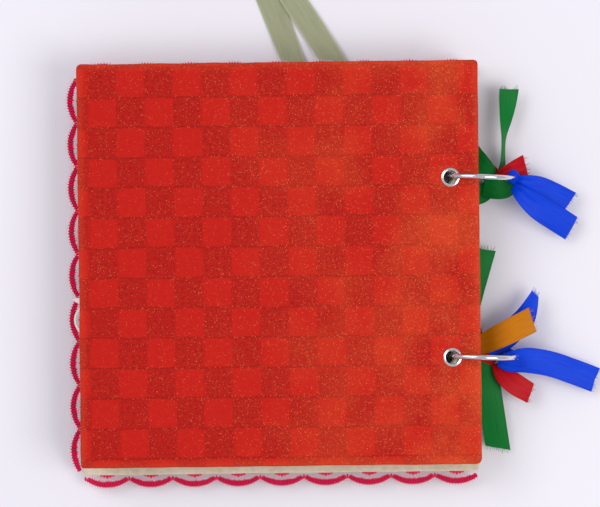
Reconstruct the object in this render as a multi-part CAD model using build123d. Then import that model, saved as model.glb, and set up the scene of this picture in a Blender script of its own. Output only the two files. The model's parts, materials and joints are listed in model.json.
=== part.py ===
"""A handmade ring album lying on its decorated front cover.

The frame is +X from the fore-edge to the ring spine, +Y to the head of the book and +Z up.
The origin is on the table under the middle of the covers. All sizes are in millimetres.
"""

import os
from math import cos, degrees, radians, sin, sqrt

from build123d import *

os.makedirs("parts", exist_ok=True)

# The two covers
COVER_WIDTH = 204.0
COVER_LENGTH = 205.5
COVER_CORNER_R = 2.5
FRONT_COVER_SHIFT_Y = -5.0
LINING = 0.4
BOARD = 2.0
PADDING = 0.6
FABRIC = 0.5
TURN_IN = 15.0

# The leaves between them
LEAF_COUNT = 6
LEAF_WIDTH = 196.0
LEAF_LENGTH = 196.0
LEAF_SHIFT_Y = -2.5
LEAF_BOARD = 1.4
LEAF_PAPER = 0.3
LEAF_PAPER_INSET = 2.0
LEAF_CORNER_R = 2.0
LEAF_GAP = 0.3
COVER_GAP = 0.6
FLOURISH_LEAF = 3
FLOURISH = 0.6

# Punched holes, eyelets and rings
HOLE_MARGIN = 14.5
HOLE_SPACING = 91.5
HOLE_MID_Y = -2.6
EYELET_BORE = 6.9
EYELET_WALL = 0.35
EYELET_LIP_WIDTH = 1.0
EYELET_LIP = 0.3
LEAF_HOLE = 6.8
RING_RADIUS = 18.0
WIRE_RADIUS = 1.25
RING_YAW = 2.6
KNUCKLE_RADIUS = 1.35
KNUCKLE_SPAN = 2.1
KNUCKLE_NECK = 1.6
KNUCKLE_TONGUE = 1.0
KNUCKLE_PLAY = 0.1
HINGE_PIN_RADIUS = 0.6
SNAP_PEG_RADIUS = 0.55
SNAP_PEG_LENGTH = 1.6
SNAP_PLAY = 0.1

# The decoration under the front cover
MAT = 1.0
MAT_MARGIN = 15.0
LOWER_FOAM = 2.4
FRAME_CARD = 1.4
FRAME_CARD_SIZE = 108.0
FOAM_PAD = 16.0
PLAQUE = 1.4
PLAQUE_SIZE = 78.0
BOW_LOOP_LENGTH = 34.0
BOW_LOOP_WIDTH = 13.0
BOW_X = 24.0
BOW_FROM_HEAD = 13.75
BOW_KNOT_WIDTH = 9.0

# Lace
LACE = 0.8
LACE_GLUED = 12.0
LACE_REACH = 6.2
LACE_SCALLOP_DEPTH = 3.4
LACE_PITCH = 23.0
LACE_CORNER_GAP = 0.5

# Ribbons
RIBBON_WIDTH = 12.0
RIBBON = 0.6
RIBBON_EASE = 0.35
KNOT_ALONG = 4.0
KNOT_ACROSS = 8.4
KNOT_RADIAL = 4.6
ORGANZA_WIDTH = 12.5
TABLE_EASE = 0.3

# Heights, built up from the ring, which just touches the table
COVER = LINING + BOARD + PADDING + FABRIC
LEAF = LEAF_BOARD + 2 * LEAF_PAPER
LEAF_BLOCK = LEAF_COUNT * LEAF + (LEAF_COUNT - 1) * LEAF_GAP + FLOURISH + LEAF_GAP
STACK = 2 * COVER + 2 * COVER_GAP + LEAF_BLOCK
RING_Z = RING_RADIUS + WIRE_RADIUS
FRONT_FACE_Z = RING_Z - STACK / 2
FRONT_INNER_Z = FRONT_FACE_Z + COVER
BACK_FACE_Z = RING_Z + STACK / 2
BACK_INNER_Z = BACK_FACE_Z - COVER
UPPER_FOAM = FRONT_FACE_Z - MAT - LOWER_FOAM - FRAME_CARD - PLAQUE


def wire_offset(height):
    """How far towards the fore-edge the ring wire is from the ring's centre at a height."""
    return sqrt(RING_RADIUS**2 - (height - RING_Z) ** 2)


# Places in plan
HEAD_Y = FRONT_COVER_SHIFT_Y + COVER_LENGTH / 2
MAT_SIZE = min(COVER_WIDTH, COVER_LENGTH) - 2 * (LACE_GLUED + MAT_MARGIN)
BOW_Y = HEAD_Y - BOW_FROM_HEAD
COVER_HOLE_X = COVER_WIDTH / 2 - HOLE_MARGIN
RING_X = COVER_HOLE_X + (wire_offset(BACK_FACE_Z) + wire_offset(BACK_INNER_Z)) / 2
UPPER_Y = HOLE_MID_Y + HOLE_SPACING / 2
LOWER_Y = HOLE_MID_Y - HOLE_SPACING / 2
HOLE_YS = (UPPER_Y, LOWER_Y)
RING_SITES = {
    "upper": Location((RING_X, UPPER_Y, RING_Z), (0, 0, -RING_YAW)),
    "lower": Location((RING_X, LOWER_Y, RING_Z), (0, 0, -RING_YAW)),
}


def save(name, shape):
    """Write one named piece, or one group of like pieces, to its own file."""
    export_step(shape, f"parts/{name}.step")


def slab(width, length, bottom, thickness, center=(0, 0), corner=0.0):
    """A flat sheet with rounded corners, from its lower face up."""
    outline = RectangleRounded(width, length, corner) if corner else Rectangle(width, length)
    return Pos(center[0], center[1], bottom) * extrude(outline, thickness)


def drill(x, diameter, bottom, thickness):
    """The two ring holes at one X, as cutters that pass both faces."""
    return [
        Pos(x, y, bottom - 1) * extrude(Circle(diameter / 2), thickness + 2)
        for y in HOLE_YS
    ]


def eyelet(x, y, bottom, thickness):
    """A metal eyelet set through a cover: a barrel with a lip on each face."""
    barrel_radius = EYELET_BORE / 2 + EYELET_WALL
    lip = Circle(barrel_radius + EYELET_LIP_WIDTH)
    barrel = Pos(x, y, bottom) * extrude(Circle(barrel_radius), thickness)
    low_lip = Pos(x, y, bottom - EYELET_LIP) * extrude(lip, EYELET_LIP)
    high_lip = Pos(x, y, bottom + thickness) * extrude(lip, EYELET_LIP)
    bore = Pos(x, y, bottom - 1) * extrude(Circle(EYELET_BORE / 2), thickness + 2)
    return barrel + low_lip + high_lip - bore


def make_cover(side, inner_z, outward, shift_y):
    """One fabric-wrapped cover: board, batting, wrap with turn-ins, lining and two eyelets.

    outward is +1 where the outer face looks up and -1 where it looks down.
    """

    def layer(width, length, start, thickness, corner=0.0):
        near = inner_z + outward * start
        far = inner_z + outward * (start + thickness)
        return slab(width, length, min(near, far), thickness, (0, shift_y), corner)

    low = min(inner_z, inner_z + outward * COVER)
    hole = EYELET_BORE + 2 * EYELET_WALL
    holes = drill(COVER_HOLE_X, hole, low, COVER)
    core_width = COVER_WIDTH - 2 * FABRIC
    core_length = COVER_LENGTH - 2 * FABRIC
    core_corner = COVER_CORNER_R - FABRIC
    window_width = COVER_WIDTH - 2 * TURN_IN
    window_length = COVER_LENGTH - 2 * TURN_IN

    board = layer(core_width, core_length, LINING, BOARD, core_corner)
    padding = layer(core_width, core_length, LINING + BOARD, PADDING, core_corner)
    core = layer(core_width, core_length, LINING, BOARD + PADDING, core_corner)
    lining = layer(window_width, window_length, 0, LINING)
    wrap = layer(COVER_WIDTH, COVER_LENGTH, 0, COVER, COVER_CORNER_R) - core - lining
    save(f"{side}_board", board - holes)
    save(f"{side}_padding", padding - holes)
    save(f"{side}_lining", lining - holes)
    save(f"{side}_fabric_wrap", wrap - holes)
    for name, y in zip(("upper", "lower"), HOLE_YS):
        save(f"{side}_eyelet_{name}", eyelet(COVER_HOLE_X, y, low, COVER))


def leaf_bottoms():
    """The height of each leaf's lower face; a wider gap above one leaf holds the flourish."""
    bottoms = []
    height = FRONT_INNER_Z + COVER_GAP
    for number in range(1, LEAF_COUNT + 1):
        bottoms.append(height)
        height += LEAF + LEAF_GAP
        if number == FLOURISH_LEAF:
            height += FLOURISH + LEAF_GAP
    return bottoms


def leaf_hole_x(bottom):
    """Each leaf hangs where the ring wire passes through its middle."""
    return RING_X - wire_offset(bottom + LEAF / 2)


def make_leaf(number, bottom):
    """One leaf: a board with a paper on each face, punched for the rings."""
    hole_x = leaf_hole_x(bottom)
    center = (hole_x + HOLE_MARGIN - LEAF_WIDTH / 2, LEAF_SHIFT_Y)
    paper_width = LEAF_WIDTH - 2 * LEAF_PAPER_INSET
    paper_length = LEAF_LENGTH - 2 * LEAF_PAPER_INSET
    board_z = bottom + LEAF_PAPER
    holes = drill(hole_x, LEAF_HOLE, bottom, LEAF)
    board = slab(LEAF_WIDTH, LEAF_LENGTH, board_z, LEAF_BOARD, center, LEAF_CORNER_R)
    front = slab(paper_width, paper_length, bottom, LEAF_PAPER, center)
    back = slab(paper_width, paper_length, board_z + LEAF_BOARD, LEAF_PAPER, center)
    save(f"leaf_{number}_board", board - holes)
    save(f"leaf_{number}_front_paper", front - holes)
    save(f"leaf_{number}_back_paper", back - holes)


def make_flourish(bottom):
    """A die-cut paper scroll glued on a leaf: a stem, a pointed leaf and a thin hooked tendril."""
    edge_x = leaf_hole_x(bottom) + HOLE_MARGIN - LEAF_WIDTH
    top = bottom + LEAF
    root = (edge_x + 20, -25.0)
    stem = Polyline(root, (edge_x + 4, -20.0), (edge_x + 4, -23.0), (edge_x + 20, -28.0), root)
    tip = (edge_x - 9.8, -17.0)
    leaf_arc = ThreePointArc((edge_x + 6, -19.5), (edge_x - 2.5, -16.0), tip)
    leaf_back = ThreePointArc(tip, (edge_x - 3.5, -20.4), (edge_x + 6, -23.0))
    leaf_close = Line((edge_x + 6, -23.0), (edge_x + 6, -19.5))
    reach = edge_x - 8.6
    outer = ThreePointArc((edge_x + 4, -20.5), (reach, -26.0), (edge_x + 4, -34.5))
    inner = ThreePointArc((edge_x + 4, -33.2), (reach + 1.0, -26.0), (edge_x + 4, -21.8))
    low_end = Line((edge_x + 4, -34.5), (edge_x + 4, -33.2))
    high_end = Line((edge_x + 4, -21.8), (edge_x + 4, -20.5))
    outlines = (
        make_face(stem),
        make_face([leaf_arc, leaf_back, leaf_close]),
        make_face([outer, low_end, inner, high_end]),
    )
    scroll = outlines[0] + outlines[1] + outlines[2]
    save("white_flourish", Pos(0, 0, top) * extrude(scroll, FLOURISH))


def half_ring(start, sweep):
    """A length of ring wire in the ring's own plane, from an angle above the hinge side."""
    section = Location((RING_RADIUS, 0, 0)) * Plane.XY * Circle(WIRE_RADIUS)
    arc = revolve(section, Axis((0, 0, 0), (0, -1, 0)), sweep)
    return Rot(0, -start, 0) * arc


def knuckle(thickness, y, upward):
    """A hinge leaf: an eye round the pin with a neck that reaches the arm's wire end."""
    eye = Rot(90, 0, 0) * Cylinder(KNUCKLE_RADIUS, thickness)
    neck_length = KNUCKLE_RADIUS + 1.2
    neck = Pos(0, 0, upward * neck_length / 2) * Box(KNUCKLE_NECK, thickness, neck_length)
    return Pos(RING_RADIUS, y, 0) * (eye + neck)


def make_ring(name, site):
    """A hinged book ring: the arms meet at a pinned hinge outside and a snap inside the holes."""
    hinge_gap = degrees((KNUCKLE_RADIUS + 2 * KNUCKLE_PLAY) / RING_RADIUS)
    snap_gap = degrees(SNAP_PLAY / 2 / RING_RADIUS)
    cheek = (KNUCKLE_SPAN - KNUCKLE_TONGUE) / 2 - KNUCKLE_PLAY
    cheek_y = (KNUCKLE_SPAN - cheek) / 2
    sweep = 180 - hinge_gap - snap_gap
    pin_hole = Pos(RING_RADIUS, 0, 0) * Rot(90, 0, 0) * Cylinder(HINGE_PIN_RADIUS, 2 * KNUCKLE_SPAN)
    snap = Pos(-RING_RADIUS, 0, 0)
    peg = snap * Cylinder(SNAP_PEG_RADIUS, 2 * SNAP_PEG_LENGTH)
    socket = snap * Cylinder(SNAP_PEG_RADIUS + SNAP_PLAY, 2 * (SNAP_PEG_LENGTH + SNAP_PLAY))
    top = half_ring(hinge_gap, sweep) + knuckle(KNUCKLE_TONGUE, 0, 1) + peg - pin_hole
    cheeks = knuckle(cheek, cheek_y, -1) + knuckle(cheek, -cheek_y, -1)
    bottom = half_ring(180 + snap_gap, sweep) + cheeks - pin_hole - socket
    pin = Pos(RING_RADIUS, 0, 0) * Rot(90, 0, 0) * Cylinder(HINGE_PIN_RADIUS, KNUCKLE_SPAN)
    save(f"{name}_ring_top_arm", site * top)
    save(f"{name}_ring_bottom_arm", site * bottom)
    save(f"{name}_ring_hinge_pin", site * pin)


def ring_clearance():
    """The room that a soft piece leaves round a ring's wire and hinge."""
    wire = Rot(90, 0, 0) * Torus(RING_RADIUS, WIRE_RADIUS + RIBBON_EASE)
    hinge_radius = KNUCKLE_RADIUS + RIBBON_EASE
    hinge = Rot(90, 0, 0) * Cylinder(hinge_radius, 2 * (WIRE_RADIUS + RIBBON_EASE))
    return wire + Pos(RING_RADIUS, 0, 0) * hinge


def knot(angle, across):
    """A ribbon knot round the wire, at an angle above the hinge side."""
    block = Box(KNOT_RADIAL, across, KNOT_ALONG)
    return Rot(0, -angle, 0) * Pos(RING_RADIUS, 0, 0) * block


def tail(start, heading, path, width=RIBBON_WIDTH):
    """A strip of ribbon from a point in plan, along a heading, through (along, height) points."""
    low = [(along, height) for along, height in path]
    high = [(along, height + RIBBON) for along, height in reversed(path)]
    side = make_face(Polyline(*low, *high, low[0]))
    strip = extrude(Plane.XZ * side, width / 2, both=True)
    return Pos(start[0], start[1], 0) * Rot(0, 0, heading) * strip


def make_ribbon(name, ring, knot_angle, tails, across=KNOT_ACROSS):
    """One ribbon tied on a ring, from a knot at a ring angle and tails placed about the ring."""
    site = RING_SITES[ring]
    center = site.position
    shape = site * knot(knot_angle, across)
    for start, heading, path in tails:
        shape += tail((center.X + start[0], center.Y + start[1]), heading, path)
    save(name, shape - site * ring_clearance())


def make_ribbons():
    """The seven ribbon ties: three on the upper ring and four on the lower one.

    The knots have slid down the rings, so their tails leave under the wire, low over the table.
    """
    mid = RING_Z

    def rim(angle):
        return RING_RADIUS * cos(radians(angle)), RING_Z + RING_RADIUS * sin(radians(angle))

    green_x, green_z = rim(-52)
    red_x, red_z = rim(-34)
    blue_x, blue_z = rim(-6)
    make_ribbon("upper_ring_green_ribbon", "upper", -52,
                [((green_x + 2, 4), 88, [(0, green_z + 1), (20, green_z + 3), (41, green_z)]),
                 ((green_x, -4), -95, [(0, green_z + 1), (9, green_z - 1)])])
    make_ribbon("upper_ring_red_ribbon", "upper", -34,
                [((red_x - 3, 3.5), 16, [(0, red_z + 1), (16, red_z + 3)])])
    make_ribbon("upper_ring_blue_ribbon", "upper", -6,
                [((blue_x + 1, -4), -18, [(0, blue_z - 1), (14, mid - 8), (27, mid - 15)]),
                 ((blue_x, -4), -38, [(0, blue_z + 1), (16, mid - 5), (38, mid - 16)])])
    green_x, green_z = rim(-55)
    red_x, red_z = rim(-40)
    blue_x, blue_z = rim(-25)
    gold_x, gold_z = rim(-10)
    make_ribbon("lower_ring_green_ribbon", "lower", -55,
                [((green_x - 5, 4.4), 93, [(0, green_z + 0.5), (25, green_z - 1), (50, green_z - 2)]),
                 ((green_x - 4, -4.4), -88, [(0, green_z + 0.5), (22, green_z - 1), (44, green_z - 3)])],
                across=KNOT_ACROSS + 0.6)
    make_ribbon("lower_ring_red_ribbon", "lower", -40,
                [((red_x - 1, -4), -45, [(0, red_z - 0.5), (10, red_z - 1.5), (22, red_z - 4)])])
    make_ribbon("lower_ring_blue_ribbon", "lower", -25,
                [((blue_x - 2, 4), 55, [(0, blue_z), (18, blue_z - 2), (38, blue_z - 3)]),
                 ((blue_x, -4), -12, [(0, blue_z), (20, blue_z), (46, blue_z - 7)])])
    make_ribbon("lower_ring_gold_ribbon", "lower", -10,
                [((gold_x - 7.5, 4), 27, [(0, gold_z - 0.5), (12, gold_z), (22, gold_z - 1)])])


def lace_strip(length, corner_gap):
    """A lace strip lying along +X with its scallops towards -Y, glued band up to the cover edge."""
    run = length - 2 * corner_gap
    count = max(1, round(run / LACE_PITCH))
    pitch = run / count
    left = -run / 2
    cusp_y = -LACE_REACH + LACE_SCALLOP_DEPTH
    arcs = [
        ThreePointArc(
            (left + i * pitch, cusp_y),
            (left + (i + 0.5) * pitch, -LACE_REACH),
            (left + (i + 1) * pitch, cusp_y),
        )
        for i in range(count)
    ]
    back = Polyline((-left, cusp_y), (-left, LACE_GLUED), (left, LACE_GLUED), (left, cusp_y))
    return extrude(make_face([*arcs, *back.edges()]), LACE)


def make_lace():
    """Three lace strips glued to the front cover's outer face, cut separately at the corners."""
    bottom = FRONT_FACE_Z - LACE
    half_width = COVER_WIDTH / 2
    foot = lace_strip(COVER_WIDTH, LACE_CORNER_GAP)
    side = lace_strip(COVER_LENGTH - 2 * LACE_GLUED - 2 * LACE_CORNER_GAP, 0)
    foot_y = FRONT_COVER_SHIFT_Y - COVER_LENGTH / 2
    save("lace_foot", Pos(0, foot_y, bottom) * foot)
    save("lace_head", Pos(0, HEAD_Y, bottom) * Rot(0, 0, 180) * foot)
    save("lace_fore_edge", Pos(-half_width, FRONT_COVER_SHIFT_Y, bottom) * Rot(0, 0, -90) * side)


def foam_pads(spread, bottom, thickness):
    """Four foam pads at the corners of a card."""
    offset = spread / 2 - FOAM_PAD / 2
    return [
        slab(FOAM_PAD, FOAM_PAD, bottom, thickness, (x, FRONT_COVER_SHIFT_Y + y))
        for x in (-offset, offset)
        for y in (-offset, offset)
    ]


def make_front_decoration():
    """The layers on the front cover that the album lies on: mat, raised card and plaque."""
    center = (0, FRONT_COVER_SHIFT_Y)
    mat_z = FRONT_FACE_Z - MAT
    card_z = mat_z - LOWER_FOAM - FRAME_CARD
    save("front_mat", slab(MAT_SIZE, MAT_SIZE, mat_z, MAT, center))
    save("lower_foam_pads", Compound(foam_pads(FRAME_CARD_SIZE - 8, mat_z - LOWER_FOAM, LOWER_FOAM)))
    save("raised_frame_card", slab(FRAME_CARD_SIZE, FRAME_CARD_SIZE, card_z, FRAME_CARD, center, 6))
    save("upper_foam_pads", Compound(foam_pads(PLAQUE_SIZE - 8, PLAQUE, UPPER_FOAM)))
    save("front_plaque", slab(PLAQUE_SIZE, PLAQUE_SIZE, 0, PLAQUE, center, 5))


def make_bow():
    """The organza bow under the head of the front cover, with two long tails past the head."""
    bow_top = FRONT_FACE_Z - MAT - TABLE_EASE
    loop_thickness = bow_top - TABLE_EASE
    knot_block = slab(BOW_KNOT_WIDTH, BOW_LOOP_WIDTH, TABLE_EASE, loop_thickness, (BOW_X, BOW_Y), 2)
    save("bow_knot", knot_block)
    reach = BOW_KNOT_WIDTH / 2 + TABLE_EASE
    loops = []
    for side in (-1, 1):
        outer = slab(BOW_LOOP_LENGTH, BOW_LOOP_WIDTH, TABLE_EASE, loop_thickness, (0, 0), 4)
        inner_width = BOW_LOOP_WIDTH + 2
        hollow = Pos(0, 0, bow_top / 2 + TABLE_EASE / 2) * Box(
            BOW_LOOP_LENGTH - 6, inner_width, loop_thickness - 2 * RIBBON
        )
        place = Pos(BOW_X + side * (reach + BOW_LOOP_LENGTH / 2), BOW_Y, 0)
        loops.append(place * (outer - hollow))
    save("bow_loops", Compound(loops))
    tail_low = TABLE_EASE
    bow_edge_y = BOW_Y + BOW_LOOP_WIDTH / 2 + TABLE_EASE
    out = HEAD_Y - bow_edge_y
    path = [(0, FRONT_FACE_Z / 2), (out, FRONT_FACE_Z / 2), (out + 22, tail_low), (out + 62, tail_low)]
    lifted = [(along, height + RIBBON + TABLE_EASE) for along, height in path]
    for name, x, tilt, route in (("left", -10, 21, path), ("right", 13, 32, lifted)):
        start_y = bow_edge_y + sin(radians(tilt)) * ORGANZA_WIDTH / 2
        save(f"organza_tail_{name}", tail((BOW_X + x, start_y), 90 + tilt, route, ORGANZA_WIDTH))


make_cover("front", FRONT_INNER_Z, -1, FRONT_COVER_SHIFT_Y)
make_cover("back", BACK_INNER_Z, 1, 0.0)
for number, bottom in enumerate(leaf_bottoms(), start=1):
    make_leaf(number, bottom)
make_flourish(leaf_bottoms()[FLOURISH_LEAF - 1])
for name, site in RING_SITES.items():
    make_ring(name, site)
make_ribbons()
make_lace()
make_front_decoration()
make_bow()
print("ring centre", round(RING_X, 3), round(RING_Z, 3), "stack", round(STACK, 3))
print("faces", round(FRONT_FACE_Z, 3), round(BACK_FACE_Z, 3), "foam", round(UPPER_FOAM, 3))
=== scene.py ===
# %% [markdown]
# # A handmade ring album
#
# The album lies on its front cover. The back cover is wrapped in a red check cotton, two book
# rings join the covers and the leaves, and satin ribbons are tied to the rings. The measured
# frame already holds every hard piece at its real size, so this script only gives those pieces
# their finish, and models the soft pieces as what they are.

# %% Load the frame
import json
import math
import random

import bmesh
import bpy
from mathutils import Matrix, Vector, noise


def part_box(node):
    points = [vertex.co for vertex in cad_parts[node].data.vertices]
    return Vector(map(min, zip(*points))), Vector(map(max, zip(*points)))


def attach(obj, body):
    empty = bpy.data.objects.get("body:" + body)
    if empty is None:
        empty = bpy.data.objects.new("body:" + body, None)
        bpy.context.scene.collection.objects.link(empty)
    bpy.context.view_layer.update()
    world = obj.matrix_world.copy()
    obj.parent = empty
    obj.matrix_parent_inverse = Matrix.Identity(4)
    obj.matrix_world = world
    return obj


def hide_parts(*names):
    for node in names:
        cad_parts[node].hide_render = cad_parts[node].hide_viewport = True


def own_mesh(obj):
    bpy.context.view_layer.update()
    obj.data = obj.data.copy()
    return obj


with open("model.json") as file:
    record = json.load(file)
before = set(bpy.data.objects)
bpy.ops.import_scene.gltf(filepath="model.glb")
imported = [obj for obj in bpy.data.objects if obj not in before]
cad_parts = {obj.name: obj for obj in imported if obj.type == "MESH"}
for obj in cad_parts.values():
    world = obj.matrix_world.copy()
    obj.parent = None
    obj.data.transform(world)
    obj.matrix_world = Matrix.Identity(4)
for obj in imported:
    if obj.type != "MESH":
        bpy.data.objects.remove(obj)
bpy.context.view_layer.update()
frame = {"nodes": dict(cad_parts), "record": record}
MM = 0.001

# %% Places that the other cells start from
back_low, back_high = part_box("back_fabric_wrap")
front_low, front_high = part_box("front_fabric_wrap")
turn = frame["record"]["behaviour"]["joints"][0]
RING_X, RING_Z = turn["pos_m"][0], turn["pos_m"][2]


def middle(node):
    """The middle of a CAD node's box."""
    low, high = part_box(node)
    return (low + high) / 2


RING_CENTERS = {
    side: Vector((RING_X, middle(f"{side}_ring_top_arm").y, RING_Z)) for side in ("upper", "lower")
}
print("rings at, mm:", {k: [round(x / MM, 2) for x in v] for k, v in RING_CENTERS.items()})

# %% [markdown]
# ## The view and the light
#
# The album is seen from almost straight above, with its head at the top. A long lens from far
# away keeps the covers square. The table is pale with a hint of lilac, and two wide lamps and
# an even sky give soft shadows. The plain display transform keeps the red as strong as it is.

# %% Camera
EYE = Vector((10.6, 5.3, 1400.0)) * MM
VIEW_WIDTH = 304.8 * MM
VIEW_TURN = math.radians(-0.67)

lens = bpy.data.cameras.new("view from above")
lens.lens = lens.sensor_width * (EYE.z - back_high.z) / VIEW_WIDTH
lens.clip_start = 0.05
lens.clip_end = 10
camera = bpy.data.objects.new("view from above", lens)
camera.location = EYE
camera.rotation_euler = (0, 0, VIEW_TURN)
bpy.context.collection.objects.link(camera)
bpy.context.scene.camera = camera
bpy.context.scene.view_settings.view_transform = "Standard"
print("lens, mm:", round(lens.lens, 1))


# %% Table, lamps and sky
def add_lamp(name, place, size, power, tint):
    """A square area lamp that points at the middle of the album."""
    light = bpy.data.lights.new(name, "AREA")
    light.energy = power
    light.size = size
    light.color = tint
    lamp = bpy.data.objects.new(name, light)
    lamp.location = place
    lamp.rotation_euler = (-Vector(place)).to_track_quat("-Z", "Y").to_euler()
    bpy.context.collection.objects.link(lamp)


add_lamp("window", (0.75, -0.25, 1.05), 0.7, 6.9, (1.0, 0.98, 0.95))
add_lamp("far window", (-0.8, 0.5, 1.2), 0.9, 9.0, (0.96, 0.97, 1.0))
sky = bpy.data.worlds.new("even sky")
sky.use_nodes = True
sky.node_tree.nodes["Background"].inputs["Color"].default_value = (0.93, 0.94, 1.0, 1)
sky.node_tree.nodes["Background"].inputs["Strength"].default_value = 0.57
bpy.context.scene.world = sky

# %% [markdown]
# ## Finishes
#
# Each finish is a small tree of shader nodes. Effects that several finishes share, such as a
# woven surface or the fibres of paper, are node groups with named inputs. They read object
# coordinates in metres, so a thread is the same width on every piece. A signal is a wrapped
# node output, so that the arithmetic of a finish can be written as it is read.


# %% Signals
def feed(slot, term):
    """Give an input a signal, a colour or a number."""
    if isinstance(term, Signal):
        slot.id_data.links.new(term.output, slot)
    elif isinstance(term, tuple):
        slot.default_value = (*term, 1)
    else:
        slot.default_value = term


class Signal:
    """A node's output. Arithmetic on it adds math nodes to its tree."""

    def __init__(self, output):
        self.output = output
        self.tree = output.id_data

    def calc(self, operation, *terms):
        """One math node, with this signal as its first term."""
        made = self.tree.nodes.new("ShaderNodeMath")
        made.operation = operation
        for slot, term in zip(made.inputs, (self, *terms)):
            feed(slot, term)
        return Signal(made.outputs[0])

    def __add__(self, other):
        return self.calc("ADD", other)

    def __sub__(self, other):
        return self.calc("SUBTRACT", other)

    def __mul__(self, other):
        return self.calc("MULTIPLY", other)

    def __truediv__(self, other):
        return self.calc("DIVIDE", other)

    def __pow__(self, other):
        return self.calc("POWER", other)

    def __abs__(self):
        return self.calc("ABSOLUTE")


print("signals ready")


# %% Helpers that make signals
def add_node(tree, kind, **values):
    """A node with its inputs fed by name."""
    made = tree.nodes.new(f"ShaderNode{kind}")
    for name, value in values.items():
        feed(made.inputs[name.replace("_", " ")], value)
    return made


def axes_of(vector):
    """The three parts of a vector."""
    return [Signal(part) for part in add_node(vector.tree, "SeparateXYZ", Vector=vector).outputs]


def scaled(vector, x, y, z=1):
    """A vector with each part scaled by its own amount."""
    made = vector.tree.nodes.new("ShaderNodeVectorMath")
    made.operation = "MULTIPLY"
    made.inputs[1].default_value = (x, y, z)
    feed(made.inputs[0], vector)
    return Signal(made.outputs[0])


def noise_of(place, scale, detail=2.0, rough=0.5):
    """A soft noise from 0 to 1, with its features about 1 / scale metres wide."""
    made = add_node(place.tree, "TexNoise", Vector=place, Scale=scale, Detail=detail, Roughness=rough)
    return Signal(made.outputs[0])


def cells_of(place, width, randomness, feature="F1"):
    """The outputs of a pattern of cells of a real width in plan."""
    plan = scaled(place, 1, 1, 0)
    made = add_node(place.tree, "TexVoronoi", Vector=plan, Scale=1 / width, Randomness=randomness)
    made.feature = feature
    return made.outputs


def stretch(value, low, high, bottom=0.0, top=1.0):
    """Stretch a signal's range, clamped at both ends."""
    made = add_node(value.tree, "MapRange", Value=value, From_Min=low, From_Max=high, To_Min=bottom,
                    To_Max=top)
    return Signal(made.outputs[0])


def blend(share, first, second):
    """Mix two colours by a share."""
    made = share.tree.nodes.new("ShaderNodeMix")
    made.data_type = "RGBA"
    for index, term in ((0, share), (6, first), (7, second)):
        feed(made.inputs[index], term)
    return Signal(made.outputs[2])


print("signal helpers ready")


# %% Helpers for groups and finishes
def start_group(name, values, results):
    """A node group of a place and named values. Returns it, its inputs and its results."""
    group = bpy.data.node_groups.new(name, "ShaderNodeTree")
    group.interface.new_socket(name="Place", in_out="INPUT", socket_type="NodeSocketVector")
    for label, value in values.items():
        made = group.interface.new_socket(name=label, in_out="INPUT", socket_type="NodeSocketFloat")
        made.default_value = value
    for label in results:
        group.interface.new_socket(name=label, in_out="OUTPUT", socket_type="NodeSocketFloat")
    entry = group.nodes.new("NodeGroupInput").outputs
    taken = {label: Signal(entry[label]) for label in ("Place", *values)}
    return group, taken, group.nodes.new("NodeGroupOutput").inputs


def use_group(group, place, **values):
    """Put a group in a place's tree with its own values. Returns its results by name."""
    made = add_node(place.tree, "Group")
    made.node_tree = group
    for name, value in {"Place": place, **values}.items():
        feed(made.inputs[name.replace("_", " ")], value)
    return {result.name: Signal(result) for result in made.outputs}


def start_finish(name, roughness, metallic=0.0, specular=0.5, sheen=0.0):
    """A new material, its shader's inputs and the object coordinates."""
    finish = bpy.data.materials.new(name)
    finish.use_nodes = True
    nodes = finish.node_tree.nodes
    slots = nodes["Principled BSDF"].inputs
    slots["Roughness"].default_value = roughness
    slots["Metallic"].default_value = metallic
    slots["Specular IOR Level"].default_value = specular
    slots["Sheen Weight"].default_value = sheen
    return finish, slots, Signal(nodes.new("ShaderNodeTexCoord").outputs["Object"])


def add_relief(slots, height, depth, strength=1.0):
    """Feed a height to the shader's normal through a bump of a real depth in metres."""
    bump = add_node(height.tree, "Bump", Strength=strength, Distance=depth, Height=height)
    feed(slots["Normal"], Signal(bump.outputs["Normal"]))


print("finish helpers ready")

# %% [markdown]
# ### Plain weave
#
# A plain weave is threads that go over and under each other in turn. Two sine waves, one along
# each axis, give the threads, and the sign of their product says which one is on top. A noise
# makes some threads thicker, as in real cotton and linen.

# %% Weave group
weave, taken, given = start_group("plain weave", {"Threads": 2400.0, "Slub": 0.5}, ["Height", "Tone"])
waves = [(part * taken["Threads"] * math.pi).calc("SINE") for part in axes_of(taken["Place"])[:2]]
over = waves[0] * waves[1]
crown = abs(waves[0]).calc("MAXIMUM", abs(waves[1]))
slub = (noise_of(taken["Place"], 420.0, 3.0, 0.6) - 0.5) * taken["Slub"]
feed(given["Height"], over * 0.22 + crown * 0.55 + slub)
feed(given["Tone"], over * 0.3 + slub + 0.5)
print("group:", weave.name)

# %% [markdown]
# ### Paper fibre and inked edges
#
# Card and paper have short fibres and faint clouds of tone. Makers often rub brown ink along
# the edges of each sheet. The ink is a mask that grows near the edge of a box in plan, broken
# up by noise so that it looks rubbed by hand. The red cotton uses the same mask for a painted
# highlight along its rim.

# %% Fibre group and inked edge group
fibre, taken, given = start_group("paper fibre", {}, ["Height", "Tone"])
fine = noise_of(taken["Place"], 2600.0, 3.0, 0.65)
cloud = noise_of(taken["Place"], 55.0, 4.0, 0.6)
feed(given["Height"], fine)
feed(given["Tone"], fine * 0.35 + cloud * 0.65)

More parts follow.
